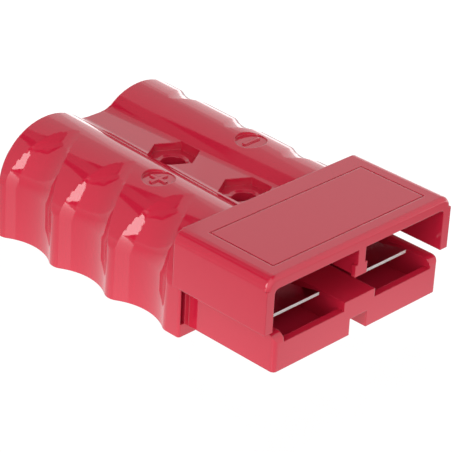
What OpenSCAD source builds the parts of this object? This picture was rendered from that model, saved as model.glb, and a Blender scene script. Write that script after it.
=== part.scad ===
// Genderless power connector: one moulded two-way housing and two leaf springs.
// Frame: +Z up, housing rests on Z = 0, mating face towards -Y, cable barrels towards +Y,
// bounding box centred on X = 0 and Y = 0. Millimetres.

/* [Housing] */
// Overall width across the hood and the grip ridges
body_w = 71; // [69:1:76]
// Overall length from the tray lip to the barrel ends
body_l = 105; // [103:1:112]
// Height of the barrel crests at mid length of the barrels
crest_z = 31.1; // [30.6:0.1:31.6]
// Slope of the barrel crests, rising towards the cable end
grip_tilt = 1.9; // [1.5:0.1:2.1]
// Centre distance of the two barrels
barrel_pitch = 35.5; // [35:0.5:36.5]
// Radius of the rounded top of each barrel
barrel_r = 17.9; // [17.9:0.05:18.3]
// Height of the level web between the barrels
web_z = 27.1; // [26.6:0.1:27.4]
// Radius blending each barrel into the web
web_fillet = 6; // [4:0.5:7]

/* [Finger grips] */
// Distance along Y of the first grip ridge behind the hood front
first_ridge = 35; // [34.4:0.1:35.4]
// Distance between two neighbouring grip ridges
ridge_pitch = 22.7; // [22.2:0.1:22.9]
// Depth of each finger scallop at the side wall
scallop_depth = 3.25; // [2.25:0.25:3.25]
// Radius rounding the grip ridges
ridge_r = 4.4; // [3:0.2:5]
// Radius rounding the outer edge of the barrel ends
end_r = 2; // [1:0.25:2.25]

/* [Hood] */
// Length of the hood along Y
hood_l = 33.3; // [32:0.1:34]
// Height of the hood top
hood_h = 30.6; // [30:0.2:32]
// Thickness of the hood side walls
hood_wall = 2.8; // [2.4:0.2:3.2]
// Thickness of the hood roof
hood_roof = 3.6; // [3:0.2:4]
// Height at which the hood side walls end
skirt_z = 14.6; // [14.2:0.2:15.4]
// Radius along the top side edges of the hood
hood_side_r = 3.5; // [2.5:0.1:4]
// Radius along the front edge of the hood roof
hood_front_r = 1.4; // [0.8:0.2:1.8]
// Radius inside the upper corners of the hood
hood_inner_r = 1.4; // [0.8:0.2:2]

/* [Tray] */
// Distance the tray lip stands ahead of the hood front
tray_lead = 0.4; // [0:0.1:1]
// Sliding clearance between the tray side and a mating hood wall
tray_gap = 0.8; // [0.4:0.1:1]
// Height of the tray underside
tray_base_z = 2.35; // [2:0.05:3]
// Height of the mating plane: tray walls and bridge end here
mate_z = 13.1; // [12.8:0.1:13.6]
// Height of the tray lip
lip_z = 10.5; // [9.5:0.25:11]
// Thickness of the tray lip
lip_t = 2.2; // [1.8:0.2:2.8]
// Thickness of the tray side walls
tray_wall = 3.3; // [2.6:0.1:3.6]
// Thickness of the tray floor
tray_floor = 2.9; // [2.4:0.1:3.4]
// Radius of the upright front edges of the tray
tray_edge_r = 1.3; // [0.8:0.1:1.6]
// Distance from the hood front to the shoulder behind the tray
shoulder_y = 30.4; // [30:0.1:31]

/* [Key] */
// Width of the bridge between the two tray pockets
bridge_w = 11.8; // [11:0.2:12.6]
// Width of the key notch under the bridge
notch_w = 6.6; // [6:0.1:7]
// Height of the key notch
notch_h = 4.9; // [4.9:0.1:5.4]
// Thickness of the key rib under the roof
rib_t = 2.7; // [2.2:0.1:3]
// Width of the foot at the front of the key rib
foot_w = 4.5; // [4:0.1:5.2]
// Height of that foot
foot_h = 3.4; // [2.8:0.2:4]
// Length of that foot along Y
foot_l = 1.4; // [1.2:0.2:2.4]
// Drop of the key rib below the roof
rib_drop = 7.9; // [7:0.1:7.9]

/* [Cable barrels] */
// Diameter of each cable bore
bore_d = 24; // [22:0.5:24.5]
// Height of the bore axes
bore_z = 15.2; // [14.8:0.2:15.6]
// Chamfer at the mouth of each bore
mouth_chamfer = 1; // [0.4:0.2:1.4]
// Length along Y of the bulkhead between the pockets and the bores
bulkhead_l = 11.6; // [10:0.2:13]
// Width of the contact window in the bulkhead
window_w = 18.8; // [18.4:0.1:19.4]
// Height of the top of the contact window
window_top = 24; // [22:0.5:25]

/* [Fixings] */
// Diameter of the two fixing holes through the web
hole_d = 7; // [6:0.1:7.4]
// Distance between the fixing holes
hole_pitch = 28; // [27:0.25:29]
// Distance from the hood front to the first fixing hole
hole_first = 42.7; // [42.2:0.1:43.5]
// Width across flats of the hexagonal nut recesses
hex_af = 13.2; // [12:0.1:13.6]
// Depth of the nut recesses below the web
hex_depth = 2.3; // [1.6:0.1:3]
// Width of the slots coring out the web from below
core_w = 5; // [3:0.5:5.5]
// Depth of those slots
core_h = 18; // [10:1:20]

/* [Marks] */
// Diameter of the sunken polarity discs
disc_d = 9.2; // [8:0.2:10]
// Length of the strokes of the polarity signs
sign_l = 6; // [5:0.2:6.4]
// Width of the strokes of the polarity signs
sign_w = 1.1; // [0.9:0.1:1.4]
// Width of the engraved frame line on the hood
line_w = 0.45; // [0.3:0.05:0.6]
// Distance from the frame line to the hood sides
line_side = 6.3; // [5.5:0.1:8]

/* [Springs] */
// Width of the free blade of each leaf spring
spring_w = 18; // [17:0.25:18.2]
// Thickness of the spring strip
spring_t = 0.9; // [0.8:0.1:1]
// Height of the underside of the free blade
spring_z = 13.35; // [13.2:0.05:13.8]
// Distance from the hood front to the spring tip
spring_tip = 6.6; // [5.6:0.2:8]
// Height of the bulkhead ledge that carries the spring
ledge_z = 9.4; // [9:0.1:10]
// Width of the spring foot held in the side grooves
spring_foot_w = 21; // [20.4:0.1:21.6]
// Drop of the hooked tail behind the ledge
tail_h = 3.2; // [2.4:0.2:3.6]

/* [Hidden] */
$fn = 96;
e = 0.02;
bite = 0.04;
edge_bite = 0.08;
big = 200;
half_w = body_w / 2;
end_y = body_l - tray_lead;
y_shift = tray_lead - body_l / 2;
mid_y = (hood_l + end_y) / 2;
bar_x = barrel_pitch / 2;
bar_c = crest_z - barrel_r;
crease = bar_c + sqrt(max(0, pow(barrel_r, 2) - pow(half_w - bar_x, 2)));
wf_z = web_z + web_fillet;
round_y = end_y - end_r;
wf_a = fillet_x(hood_l);
wf_b = fillet_x(round_y);
wf_turn = atan((wf_a - wf_b) / (round_y - hood_l));
tray_x = half_w - hood_wall - tray_gap;
cav_x = half_w - hood_wall;
roof_z = hood_h - hood_roof;
pocket_in = bridge_w / 2;
pocket_out = tray_x - tray_wall;
pocket_x = (pocket_in + pocket_out) / 2;
floor_z = tray_base_z + tray_floor;
bulk_y = shoulder_y + bulkhead_l;
span = ridge_pitch / 2;
arc_sum = (pow(scallop_depth, 2) + pow(span, 2)) / (2 * scallop_depth);
scallop_r = arc_sum - ridge_r;
side_in = half_w - scallop_depth;
tip_s = span / arc_sum;
tip_c = sqrt(1 - pow(tip_s, 2));
ridge_keep = ridge_r * tip_s;
ridge_cut = ridge_r * (1 - tip_c);
foot_gap = 0.15;
foot_groove_h = spring_t + foot_gap;
frame_x = half_w - line_side;
frame_front = 4.3;
frame_back = 27.2;
line_d = 0.3;
disc_y = first_ridge + ridge_pitch + 0.3;
disc_depth = 0.85;
sign_h = 0.4;
groove_in = 0.6;
groove_w = 1.5;
groove_l = 4;
groove_z = 3.8;
shoulder_r = 0.8;
ring_r = 0.9;
slope_y = 3.6;
slope_l = 20;
bend = 0.2;
foot_lead = 1;
tail_y = bulk_y - foot_gap - spring_t;
tail_z = ledge_z - tail_h;
tail_chord = sqrt(pow(bore_d / 2, 2) - pow(bore_z - tail_z + foot_gap, 2));
tail_x = tail_chord - abs(bar_x - pocket_x) - 2 * foot_gap;
boss_wall = 3;
core_end = 4;

// Rise of the sloping barrels at a given distance behind the hood front.
function rise(y) = (y - mid_y) * tan(grip_tilt);
// Height of the barrel crest at that distance.
function crest_at(y) = crest_z + rise(y);
// Distance from the middle to the axis of the radius between web and barrel.
function fillet_x(y) =
    bar_x - sqrt(pow(barrel_r + web_fillet - bite, 2) - pow(web_z + web_fillet - bar_c - rise(y), 2));
// Distance from the middle to the line where a radius with axis at x meets the barrel.
function touch_x(x) = bar_x - (bar_x - x) * barrel_r / (barrel_r + web_fillet);

module block(x0, x1, y0, y1, z0, z1) {
    translate([x0, y0, z0]) cube([x1 - x0, y1 - y0, z1 - z0]);
}

module mirrored() {
    children();
    mirror([1, 0, 0]) children();
}

// Round bar along Y.
module rod_y(x, z, r, y0, y1) {
    translate([x, y1, z]) rotate([90, 0, 0]) cylinder(r = r, h = y1 - y0);
}

// Places children so that the hood front lies at its distance in the centred frame.
module from_hood() {
    translate([0, y_shift, 0]) children();
}

// Tilts children about the X line through the middle of the barrels.
module tilted() {
    translate([0, mid_y, 0]) rotate([grip_tilt, 0, 0]) translate([0, -mid_y, 0]) children();
}

// Twin sloping barrels with upright side walls, and the level web between them.
module grip_blank() {
    intersection() {
        union() {
            tilted() mirrored() {
                rod_y(bar_x, bar_c, barrel_r, -big / 4, big);
                block(0, half_w, -big / 4, big, -barrel_r, crease);
                block(0, bar_x, -big / 4, big, -barrel_r, bar_c);
            }
            mirrored() difference() {
                linear_extrude(web_z + web_fillet / 2)
                    polygon([
                        [0, shoulder_y], [touch_x(wf_a), shoulder_y], [touch_x(wf_a), hood_l],
                        [touch_x(wf_b), round_y], [touch_x(wf_b), end_y + 1], [0, end_y + 1]]);
                block(-1, wf_b, -1, big + 1, web_z, big);
                rod_y(wf_b, wf_z + bite, web_fillet + edge_bite, round_y, big + 1);
                intersection() {
                    translate([wf_a, hood_l, wf_z]) rotate([0, 0, wf_turn])
                        rod_y(0, 0, web_fillet, -big / 2, big * 2);
                    block(-big, big, -1, round_y, 0, big);
                }
                intersection() {
                    block(-1, wf_a + 1, -1, round_y, web_z, wf_z);
                    translate([wf_a, hood_l, 0]) rotate([0, 0, wf_turn])
                        block(-big, 0, -big / 2, big * 2, 0, big);
                }
            }
        }
        block(-half_w, half_w, shoulder_y, end_y, 0, big / 2);
    }
}

// Outline beyond the wavy grip: concave scallops and rounded ridges from a base line.
module wave_cut(base) {
    tip = base + scallop_depth;
    translate([0, first_ridge]) difference() {
        square([base + scallop_r, end_y]);
        difference() {
            square([tip, end_y + 1]);
            for (i = [0:3]) translate([base + scallop_r, span + i * ridge_pitch])
                circle(r = scallop_r + bite / 2);
            for (i = [0:3]) difference() {
                translate([tip - ridge_cut, i * ridge_pitch - ridge_keep])
                    square([ridge_cut + 1, ridge_keep * 2]);
                translate([tip - ridge_r, i * ridge_pitch]) circle(r = ridge_r);
            }
        }
    }
}

// Finger grip of one side: upright waves below, waves that fade out towards the crest above.
module grip_cut() {
    arch_r = crest_z - crease;
    arch_x = side_in - arch_r;
    tilted() {
        intersection() {
            translate([0, 0, -barrel_r]) linear_extrude(barrel_r + crease) wave_cut(side_in);
            block(bar_x + 1, big, 0, big, -barrel_r - 1, big);
        }
        intersection() {
            translate([arch_x, 0, crease]) rotate([-90, 0, 0]) rotate_extrude() wave_cut(arch_r);
            block(arch_x, big, 0, big, crease, big);
        }
    }
}

// Quarter-round edge section on a curve of radius r; side is 1 on convex, -1 on concave edges.
module end_section(r, side) {
    difference() {
        translate([side > 0 ? r - end_r : r - 1, -end_y - 1]) square([end_r + 1, end_r + 1]);
        translate([r - side * end_r, end_r - end_y]) circle(r = end_r);
    }
}

// Rounds the upper and outer edge of one barrel end and the web between.
module end_round() {
    c = bar_c + rise(end_y);
    r = barrel_r + edge_bite;
    top = atan2(wf_z - c, wf_b - bar_x);
    gap = norm([wf_z - c, wf_b - bar_x]) - r;
    side = half_w + edge_bite;
    level = wf_z - gap;
    lap = 2;
    low = asin((crease - bar_c - 0.5) / barrel_r);
    difference() {
        block(side - end_r, side + 1, round_y, end_y + 1, -1, c + r * sin(low));
        translate([side - end_r, round_y, -2]) cylinder(r = end_r, h = big);
    }
    translate([bar_x, 0, c]) rotate([90, 0, 0]) rotate([0, 0, low])
        rotate_extrude(angle = top - low + lap) end_section(r, 1);
    translate([wf_b, 0, wf_z]) rotate([90, 0, 0]) rotate([0, 0, 270 - lap])
        rotate_extrude(angle = top - 90 + 2 * lap) end_section(gap - edge_bite, -1);
    difference() {
        block(-wf_b - bite, wf_b + bite, round_y, end_y + 1, level - end_r, level + 1);
        translate([-half_w, round_y, level - end_r]) rotate([0, 90, 0]) cylinder(r = end_r, h = body_w);
    }
}

// Hood: roof and side walls over the tray, closed towards the barrels.
module hood_blank() {
    difference() {
        block(-half_w, half_w, 0, hood_l, skirt_z, hood_h);
        mirrored() {
            translate([half_w - hood_side_r, 0, hood_h - hood_side_r]) difference() {
                block(0, hood_side_r + 1, -1, hood_l + 1, 0, hood_side_r + 1);
                rod_y(0, 0, hood_side_r, -2, hood_l + 2);
            }
            // rounded front edge carried round the upper corner
            intersection() {
                translate([half_w - hood_side_r, hood_front_r, hood_h - hood_side_r])
                    rotate([90, 0, 0]) rotate_extrude()
                    difference() {
                        translate([hood_side_r - hood_front_r, 0])
                            square([hood_front_r + 1, hood_front_r + 1]);
                        translate([hood_side_r - hood_front_r, 0]) circle(r = hood_front_r);
                    }
                block(half_w - hood_side_r, half_w + 1, -1, hood_front_r,
                    hood_h - hood_side_r, hood_h + 1);
            }
        }
        translate([0, hood_front_r, hood_h - hood_front_r]) difference() {
            block(hood_side_r - half_w, half_w - hood_side_r, -hood_front_r - 1, 0, 0, hood_front_r + 1);
            translate([-half_w, 0, 0]) rotate([0, 90, 0]) cylinder(r = hood_front_r, h = body_w);
        }
    }
}

// Space under the hood that takes the tray of the mating part.
module hood_cavity() {
    difference() {
        block(-cav_x, cav_x, -1, shoulder_y, mate_z, roof_z);
        mirrored() difference() {
            block(cav_x - hood_inner_r, cav_x + 1, -2, shoulder_y + 1, roof_z - hood_inner_r, roof_z + 1);
            rod_y(cav_x - hood_inner_r, roof_z - hood_inner_r, hood_inner_r, -3, shoulder_y + 2);
        }
    }
}

// Tray: floor, side walls, lip and the bridge between its two pockets.
module tray() {
    difference() {
        block(-tray_x, tray_x, -tray_lead, shoulder_y + e, tray_base_z, mate_z);
        mirrored() {
            // pocket
            block(pocket_in, pocket_out, lip_t - tray_lead, shoulder_y + 1, floor_z, mate_z + 1);
            block(pocket_in, tray_x - tray_wall, -tray_lead - 1, lip_t, lip_z, mate_z + 1);
            // upright front edges
            difference() {
                block(tray_x - tray_edge_r, tray_x + 1, -tray_lead - 1, tray_edge_r - tray_lead,
                    0, mate_z + 1);
                translate([tray_x - tray_edge_r, tray_edge_r - tray_lead, 0])
                    cylinder(r = tray_edge_r, h = mate_z + 2);
            }
            // rounded nose of the side walls
            difference() {
                block(pocket_out - 1, tray_x + 1, -tray_lead - 1, mate_z - lip_z - tray_lead,
                    lip_z, mate_z + 1);
                translate([pocket_out - 2, mate_z - lip_z - tray_lead, lip_z]) rotate([0, 90, 0])
                    cylinder(r = mate_z - lip_z, h = tray_wall + 4);
            }
        }
        block(-notch_w / 2, notch_w / 2, -tray_lead - 1, shoulder_y,
            tray_base_z - 1, tray_base_z + notch_h);
    }
}

// Key rib under the roof with its wider front foot.
module key_rib() {
    block(-rib_t / 2, rib_t / 2, 0, shoulder_y + e, roof_z - rib_drop, roof_z + e);
    block(-foot_w / 2, foot_w / 2, 0, foot_l, roof_z - rib_drop, roof_z - rib_drop + foot_h);
}

// Contact window, spring grooves, recess behind the ledge and cable bore of one pole.
module pole_cut() {
    block(pocket_x - window_w / 2, pocket_x + window_w / 2, shoulder_y - 1, bulk_y + 1,
        ledge_z, window_top);
    block(pocket_x - spring_foot_w / 2 - foot_gap, pocket_x + spring_foot_w / 2 + foot_gap,
        shoulder_y - 1, bulk_y + 1, ledge_z, ledge_z + foot_groove_h);
    block(pocket_x - tail_x - foot_gap, pocket_x + tail_x + foot_gap, tail_y, bulk_y + 1,
        tail_z - foot_gap, ledge_z + spring_t / 2);
    rod_y(bar_x, bore_z, bore_d / 2, bulk_y, end_y + 1);
    translate([bar_x, end_y + e, bore_z]) rotate([90, 0, 0])
        cylinder(r1 = bore_d / 2 + mouth_chamfer, r2 = bore_d / 2, h = mouth_chamfer);
}

// Fixing holes, nut recesses and the slots that core out the web from below.
module fixings() {
    for (i = [0, 1]) translate([0, hole_first + i * hole_pitch, 0]) {
        floor = web_z - hex_depth;
        translate([0, 0, -1]) cylinder(d = hole_d, h = big / 2);
        translate([0, 0, floor]) rotate([0, 0, 30]) cylinder(d = hex_af / cos(30), h = big / 2, $fn = 6);
        translate([0, 0, floor - ring_r / 2])
            cylinder(r1 = hole_d / 2, r2 = hole_d / 2 + ring_r, h = ring_r / 2 + e);
    }
    wall = hole_d / 2 + boss_wall;
    first = hole_first + hole_pitch;
    block(-core_w / 2, core_w / 2, hole_first + wall, first - wall, -1, core_h);
    block(-core_w / 2, core_w / 2, first + wall, end_y - core_end, -1, core_h);
}

// Sunken disc with a raised sign on the crest of one barrel.
module polarity(x, plus) {
    z = crest_at(disc_y) - disc_depth;
    translate([x, disc_y, z]) difference() {
        cylinder(d = disc_d, h = big / 4);
        block(-sign_l / 2, sign_l / 2, -sign_w / 2, sign_w / 2, -1, sign_h);
        if (plus) block(-sign_w / 2, sign_w / 2, -sign_l / 2, sign_l / 2, -1, sign_h);
    }
}

// Plain engraved frame line on top of the hood.
module frame_line() {
    difference() {
        block(-frame_x, frame_x, frame_front, frame_back, hood_h - line_d, hood_h + 1);
        block(line_w - frame_x, frame_x - line_w, frame_front + line_w, frame_back - line_w,
            hood_h - line_d - 1, hood_h + 2);
    }
}

module housing() {
    color([0.76, 0.12, 0.16]) from_hood() {
        difference() {
            union() {
                grip_blank();
                hood_blank();
            }
            hood_cavity();
            mirrored() {
                grip_cut();
                end_round();
                pole_cut();
                // upright front edge of the shoulder
                difference() {
                    block(half_w - shoulder_r, half_w + 1, shoulder_y - 1, shoulder_y + shoulder_r,
                        -1, skirt_z);
                    translate([half_w - shoulder_r, shoulder_y + shoulder_r, -2])
                        cylinder(r = shoulder_r, h = big);
                }
                // relief groove in the shoulder beside the tray
                block(half_w - groove_in - groove_w, half_w - groove_in,
                    shoulder_y - 1, shoulder_y + groove_l, groove_z, skirt_z);
            }
            fixings();
            polarity(-bar_x, true);
            polarity(bar_x, false);
            frame_line();
        }
        tray();
        key_rib();
    }
}

// Leaf spring: raised free blade, slope, foot in the grooves and tail hooked into its recess.
module spring(side) {
    drop = spring_z - ledge_z;
    knee_y = shoulder_y - slope_y;
    color([0.78, 0.79, 0.8]) from_hood() translate([side * pocket_x, 0, 0]) {
        translate([-spring_w / 2, 0, 0]) rotate([90, 0, 90]) linear_extrude(spring_w)
            polygon([
                [spring_tip, spring_z], [knee_y - slope_l, spring_z], [knee_y, ledge_z],
                [shoulder_y + foot_lead, ledge_z], [shoulder_y + foot_lead, ledge_z + spring_t],
                [knee_y + bend, ledge_z + spring_t], [knee_y - slope_l + bend, spring_z + spring_t],
                [spring_tip, spring_z + spring_t]]);
        block(-spring_foot_w / 2, spring_foot_w / 2, shoulder_y + foot_lead - e, tail_y + spring_t,
            ledge_z, ledge_z + spring_t);
        block(-tail_x, tail_x, tail_y, tail_y + spring_t, tail_z, ledge_z + e);
    }
}

module spring_left() { spring(-1); }
module spring_right() { spring(1); }

housing();
spring_left();
spring_right();
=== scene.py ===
# Genderless power connector: red moulded housing with two leaf springs on a white table.
import math

import bmesh
import bpy
from mathutils import Matrix, Vector

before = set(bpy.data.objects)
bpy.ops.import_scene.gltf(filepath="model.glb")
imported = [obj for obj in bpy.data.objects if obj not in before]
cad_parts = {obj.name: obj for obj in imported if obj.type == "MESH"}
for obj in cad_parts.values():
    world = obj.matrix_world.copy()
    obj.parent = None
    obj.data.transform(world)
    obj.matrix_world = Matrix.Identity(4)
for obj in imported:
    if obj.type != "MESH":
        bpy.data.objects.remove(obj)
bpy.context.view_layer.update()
SCENE = bpy.context.scene

MM = 0.001
WHITE = (1, 1, 1, 1)

# housing: the radius the tool leaves on an edge, and the sink of a thick wall, by width and depth, in mm
EDGE_RADIUS = 0.35
SINK_WIDTH = 11.1
SINK_DEPTH = 0.1

# spring strip, in mm: both are finer on the real strip and drawn coarser here, so that they show
ROLLING_LINE = 0.167
TORN_GRAIN = 0.588

# shading of the CAD nodes: corners this close are one, and faces that meet at more than this are sharp
WELD_GAP = 0.002 * MM
CREASE = math.radians(24)

# studio, in metres from the middle of the part
TABLE_SIZE = 4
TENT = 0.9
SOFTBOX = 0.88
CEILING = 1.15
CEILING_REACH = 0.8
CARD_HEIGHT = 0.001
CARD_NEAR = 0.13
CARD_FAR = 0.9
CARD_FRONT = -0.2

# camera, in metres and degrees: bearing and height of the view, its roll, and the point it looks at
VIEW_BEARING = math.radians(-46.591)
VIEW_HEIGHT = math.radians(28.499)
VIEW_ROLL = math.radians(3.025)
VIEW_CENTRE = Vector((0.00279, -0.00311, 0.01183))
VIEW_DISTANCE = 0.5844


def linear(hex_rgb):
    """sRGB hex to linear RGBA."""
    channels = []
    for i in (0, 2, 4):
        c = int(hex_rgb[i:i + 2], 16) / 255
        channels.append(c / 12.92 if c <= 0.04045 else ((c + 0.055) / 1.055) ** 2.4)
    return (*channels, 1.0)


def noise_scale(width):
    """Scale at which a noise texture on Object coordinates has features this many millimetres wide."""
    return 1 / (width * MM)


def add_node(tree, kind, inputs, **settings):
    """Add one shader node with its settings. Each input takes a value or another node's output."""
    node = tree.nodes.new("ShaderNode" + kind)
    for setting, value in settings.items():
        setattr(node, setting, value)
    for socket, value in inputs.items():
        if isinstance(value, bpy.types.NodeSocket):
            tree.links.new(value, node.inputs[socket])
        else:
            node.inputs[socket].default_value = value
    return node


def empty_material(name):
    """New material with nothing in its tree."""
    surface = bpy.data.materials.new(name)
    surface.use_nodes = True
    surface.node_tree.nodes.clear()
    return surface


def moulded_red():
    """Gloss polycarbonate, injection moulded: a deep red body under a clear skin that mirrors its
    white surroundings, with edges broken by the small radii of the tool and a trace of sink."""
    plastic = empty_material("polycarbonate_moulded_red")
    tree = plastic.node_tree
    where = add_node(tree, "TexCoord", {})
    sink = add_node(tree, "TexNoise", {
        "Vector": where.outputs["Object"],
        "Scale": noise_scale(SINK_WIDTH),
        "Detail": 1.5,
    })
    edge = add_node(tree, "Bevel", {"Radius": EDGE_RADIUS * MM}, samples=6)
    bump = add_node(tree, "Bump", {
        "Strength": 0.06,
        "Distance": SINK_DEPTH * MM,
        "Height": sink.outputs["Fac"],
        "Normal": edge.outputs["Normal"],
    })
    body = add_node(tree, "BsdfPrincipled", {
        "Base Color": linear("BD1F38"),
        "IOR": 1.585,
        "Roughness": 0.06,
        "Normal": bump.outputs["Normal"],
    })
    add_node(tree, "OutputMaterial", {"Surface": body.outputs["BSDF"]})
    return plastic


def spring_strip():
    """Rolled stainless spring strip: its faces mirror the dark pocket, drawn out by fine lengthwise
    rolling lines, while the sheared ends are torn and matt and stay pale from every side."""
    steel = empty_material("stainless_rolled_strip")
    tree = steel.node_tree
    where = add_node(tree, "TexCoord", {})
    # rolling lines, some thirty times as long as they are wide
    stretch = add_node(tree, "Mapping", {
        "Vector": where.outputs["Object"],
        "Scale": (1.0, 0.03, 1.0),
    })
    lines = add_node(tree, "TexNoise", {
        "Vector": stretch.outputs["Vector"],
        "Scale": noise_scale(ROLLING_LINE),
    })
    rolled = add_node(tree, "MapRange", {
        "Value": lines.outputs["Fac"],
        "To Min": 0.08,
        "To Max": 0.16,
    })
    # torn grain of the sheared ends
    grain = add_node(tree, "TexNoise", {
        "Vector": where.outputs["Object"],
        "Scale": noise_scale(TORN_GRAIN),
    })
    torn = add_node(tree, "MapRange", {
        "Value": grain.outputs["Fac"],
        "To Min": 0.45,
        "To Max": 0.75,
    })
    # the sheared end is the face that looks straight to the front
    facing = add_node(tree, "SeparateXYZ", {"Vector": where.outputs["Normal"]})
    end = add_node(tree, "Math", {0: facing.outputs["Y"], 1: -0.9}, operation="LESS_THAN")
    finish = add_node(tree, "Mix", {
        "Factor": end.outputs["Value"],
        "A": rolled.outputs["Result"],
        "B": torn.outputs["Result"],
    })
    # the Mix node keeps its colours in inputs 6 and 7 and its mixed colour in output 2
    tone = add_node(tree, "Mix", {
        "Factor": end.outputs["Value"],
        6: linear("CFD0D3"),
        7: linear("FAF9F8"),
    }, data_type="RGBA")
    metal = add_node(tree, "BsdfPrincipled", {
        "Metallic": 1.0,
        "Base Color": tone.outputs[2],
        "Roughness": finish.outputs["Result"],
    })
    add_node(tree, "OutputMaterial", {"Surface": metal.outputs["BSDF"]})
    return steel


def opal(name, glow):
    """Opal acrylic lit evenly from behind."""
    sheet = empty_material(name)
    tree = sheet.node_tree
    lamp = add_node(tree, "Emission", {"Color": WHITE, "Strength": glow})
    add_node(tree, "OutputMaterial", {"Surface": lamp.outputs["Emission"]})
    return sheet


def opal_table():
    """Gloss opal acrylic with its lamp below the middle: brightest under the part and fading outwards,
    so low walls pick up a pale foot, and its polish repeats the softbox in the ridges. The camera
    sees it burnt out to an even white."""
    top = empty_material("acrylic_opal_table")
    tree = top.node_tree
    where = add_node(tree, "TexCoord", {})
    # the lamp's pool is an oval, longer along the part than across it
    oval = add_node(tree, "Mapping", {"Vector": where.outputs["Object"], "Scale": (1.4, 1.0, 1.0)})
    reach = add_node(tree, "VectorMath", {0: oval.outputs["Vector"]}, operation="LENGTH")
    fade = add_node(tree, "MapRange", {
        "Value": reach.outputs["Value"],
        "From Min": 0.05,
        "From Max": 0.14,
        "To Min": 1.1,
        "To Max": 0.42,
    })
    path = add_node(tree, "LightPath", {})
    level = add_node(tree, "Mix", {
        "Factor": path.outputs["Is Camera Ray"],
        "A": fade.outputs["Result"],
        "B": 1.0,
    })
    lamp = add_node(tree, "Emission", {"Color": WHITE, "Strength": level.outputs["Result"]})
    skin = add_node(tree, "Fresnel", {"IOR": 1.49})
    polish = add_node(tree, "BsdfGlossy", {"Color": skin.outputs["Fac"], "Roughness": 0.08})
    both = add_node(tree, "AddShader", {0: lamp.outputs["Emission"], 1: polish.outputs["BSDF"]})
    add_node(tree, "OutputMaterial", {"Surface": both.outputs["Shader"]})
    return top


def toward(bearing, height, distance):
    """Point seen from the part at a bearing clockwise from +Y and a height angle, both in degrees, at a
    level distance."""
    turn = math.radians(bearing)
    rise = math.radians(height)
    return Vector((math.sin(turn), math.cos(turn), math.tan(rise))) * distance


def panel(name, corners, glow):
    """Flat sheet of opal acrylic lit from behind, given by its corners in order. The camera doesn't
    see it."""
    mesh = bpy.data.meshes.new(name)
    sheet = bmesh.new()
    sheet.faces.new([sheet.verts.new(corner) for corner in corners])
    sheet.to_mesh(mesh)
    sheet.free()
    mesh.materials.append(opal(name + "_opal", glow))
    stand = bpy.data.objects.new(name, mesh)
    SCENE.collection.objects.link(stand)
    stand.visible_camera = False


def wall(name, start, end, low, high, glow):
    """Upright wall of the light tent between two bearings and two height angles, in degrees."""
    corners = [
        toward(start, low, TENT),
        toward(start, high, TENT),
        toward(end, high, TENT),
        toward(end, low, TENT),
    ]
    panel(name, corners, glow)


# CAD nodes: welded for shading only, sharp where the faces really meet at an angle
FINISH = {"housing": moulded_red(), "spring_left": spring_strip()}
FINISH["spring_right"] = FINISH["spring_left"]
for name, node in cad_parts.items():
    node.data.materials.clear()
    node.data.materials.append(FINISH[name])
    node.data.shade_smooth()
    weld = node.modifiers.new("weld", "WELD")
    weld.merge_threshold = WELD_GAP
    split = node.modifiers.new("sharp_edges", "EDGE_SPLIT")
    split.split_angle = CREASE
    split.use_edge_sharp = False
    even = node.modifiers.new("even_normals", "WEIGHTED_NORMAL")
    even.mode = "FACE_AREA"

# backlit opal table
bpy.ops.mesh.primitive_plane_add(size=TABLE_SIZE)
table = bpy.context.object
table.name = "table"
table.data.materials.append(opal_table())

# light tent, given by bearings from and to, height angles from and to, and glow: dim behind on the left,
# brighter behind on the right and round the front
wall("wall_left", -86, -45, 0, 42, 0.6)
wall("wall_back_left", -45, 0, 0, 42, 0.57)
wall("wall_back", 0, 45, 0, 30, 1.0)
wall("wall_back_upper", 0, 45, 30, 52, 0.7)
wall("wall_right_low", 45, 90, 0, 25, 1.3)
wall("wall_right_upper", 45, 90, 25, 52, 0.9)
wall("wall_front_right", 90, 180, 0, 52, 1.1)
wall("wall_front_left", -180, -108, 0, 52, 1.4)
wall("wall_over_softbox", -108, -86, 46, 52, 0.8)
wall("wall_dim_left_upper", -86, 0, 42, 52, 0.28)

# one strong softbox on the left, cut slantwise so that its patches on the grips lean
panel("softbox", [
    toward(-108, -0.5, SOFTBOX),
    toward(-108, 46, SOFTBOX),
    toward(-84.5, 36, SOFTBOX),
    toward(-84.5, 10, SOFTBOX),
], 6.0)

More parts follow.
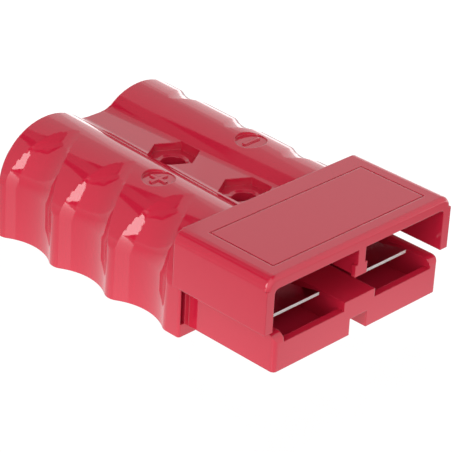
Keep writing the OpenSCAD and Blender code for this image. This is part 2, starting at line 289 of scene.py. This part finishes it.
# bright card on the table, round the corner that is farthest from the camera
panel("card_behind", [
    (0, CARD_NEAR, CARD_HEIGHT),
    (0, CARD_FAR, CARD_HEIGHT),
    (CARD_FAR, CARD_FAR, CARD_HEIGHT),
    (CARD_FAR, CARD_FRONT, CARD_HEIGHT),
    (CARD_NEAR, CARD_FRONT, CARD_HEIGHT),
    (CARD_NEAR, CARD_NEAR, CARD_HEIGHT),
], 2.4)

# ceiling: dim behind, pale over the front left, open over the front right
panel("ceiling_back", [
    (-CEILING_REACH, 0, CEILING),
    (-CEILING_REACH, CEILING_REACH, CEILING),
    (CEILING_REACH, CEILING_REACH, CEILING),
    (CEILING_REACH, 0, CEILING),
], 0.22)
panel("ceiling_front", [
    (-CEILING_REACH, 0, CEILING),
    (-CEILING_REACH, -CEILING_REACH, CEILING),
    (0, -CEILING_REACH, CEILING),
    (0, 0, CEILING),
], 1.2)

# beyond the tent the studio is dark, and only the camera sees white
world = bpy.data.worlds.new("studio")
SCENE.world = world
world.use_nodes = True
world.node_tree.nodes.clear()
seen = add_node(world.node_tree, "LightPath", {})
sky = add_node(world.node_tree, "Background", {
    "Color": WHITE,
    "Strength": seen.outputs["Is Camera Ray"],
})
add_node(world.node_tree, "OutputWorld", {"Surface": sky.outputs["Background"]})

# camera
back = Vector((
    math.sin(VIEW_BEARING) * math.cos(VIEW_HEIGHT),
    -math.cos(VIEW_BEARING) * math.cos(VIEW_HEIGHT),
    math.sin(VIEW_HEIGHT),
))
level_right = Vector((math.cos(VIEW_BEARING), math.sin(VIEW_BEARING), 0))
level_up = back.cross(level_right)
right = level_right * math.cos(VIEW_ROLL) + level_up * math.sin(VIEW_ROLL)
up = level_up * math.cos(VIEW_ROLL) - level_right * math.sin(VIEW_ROLL)
turned = Matrix((right, up, back)).transposed().to_4x4()
cam = bpy.data.objects.new("camera", bpy.data.cameras.new("camera"))
SCENE.collection.objects.link(cam)
cam.matrix_world = Matrix.Translation(VIEW_CENTRE + back * VIEW_DISTANCE) @ turned
cam.data.lens = 168.77
cam.data.sensor_width = 36
cam.data.shift_x = -0.0159
cam.data.shift_y = 0.0026
cam.data.clip_start = 0.01
cam.data.clip_end = 20
SCENE.camera = cam
SCENE.view_settings.view_transform = "Standard"
